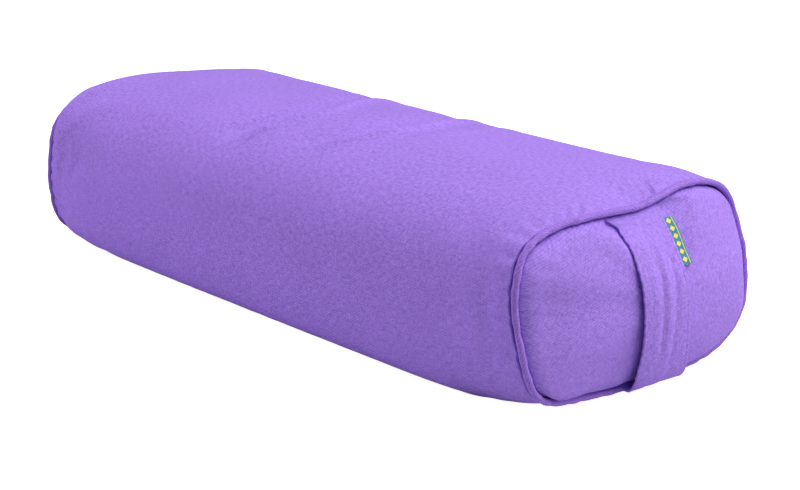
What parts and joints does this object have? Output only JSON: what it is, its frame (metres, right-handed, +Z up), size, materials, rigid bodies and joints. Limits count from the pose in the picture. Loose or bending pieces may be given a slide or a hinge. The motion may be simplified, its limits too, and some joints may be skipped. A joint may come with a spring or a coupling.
{
  "type": "rectangular yoga bolster",
  "caption": "Firm rectangular bolster with a piped, zipped cotton cover over a batting filling, and a flat webbing handle on one end.",
  "frame": {"origin": "on the floor, under the middle of the whole bolster's bounding box", "axes": "+X along the bolster to the end with the handle, +Y across it to the side with the zip, +Z up"},
  "size_m": [0.6345, 0.2598, 0.155],
  "materials": {
    "cover_twill": "purple cotton twill, matt with a soft sheen",
    "piping_twill": "purple cotton twill cut on the bias",
    "piping_cord": "natural twisted cotton cord",
    "handle_twill": "folded cotton twill, stitched along both edges",
    "label_ribbon": "woven teal ribbon with a plain pattern",
    "zip_tape": "woven polyester tape",
    "zip_teeth": "dyed nylon coil",
    "zip_metal": "nickel-plated, satin",
    "liner_calico": "unbleached plain-weave calico",
    "batting": "compressed cotton batting"
  },
  "bodies": {
    "cover": {"cover_body_panel": "cover_twill", "near_end_panel": "cover_twill", "far_end_panel": "cover_twill", "near_piping_sleeve": "piping_twill", "far_piping_sleeve": "piping_twill", "near_piping_cord": "piping_cord", "far_piping_cord": "piping_cord", "zip_tape_upper": "zip_tape", "zip_tape_lower": "zip_tape", "zip_teeth_upper": "zip_teeth", "zip_teeth_lower": "zip_teeth", "zip_top_stop_upper": "zip_metal", "zip_top_stop_lower": "zip_metal", "zip_bottom_stop": "zip_metal", "liner_body": "liner_calico", "liner_near_end": "liner_calico", "liner_far_end": "liner_calico", "batting_layer_1": "batting", "batting_layer_2": "batting", "batting_layer_3": "batting", "batting_layer_4": "batting", "batting_layer_5": "batting"},
    "handle": {"carry_handle": "handle_twill", "label_tab": "label_ribbon"},
    "slider": {"zip_slider": "zip_metal"},
    "pull": {"zip_pull": "zip_metal"}
  },
  "joints": [
    {"name": "handle_lift", "type": "slide", "parent": "cover", "child": "handle", "axis": [1, 0, 0], "range_m": [0, 0.02]},
    {"name": "slider_travel", "type": "slide", "parent": "cover", "child": "slider", "axis": [-1, 0, 0], "range_m": [0, 0.3674], "deforming": ["zip_teeth_upper", "zip_teeth_lower"]},
    {"name": "pull_swing", "type": "hinge", "parent": "slider", "child": "pull", "pos_m": [0.18005, 0.12798, 0.0625], "axis": [0, 0, -1], "range_deg": [0, 180]}
  ]
}
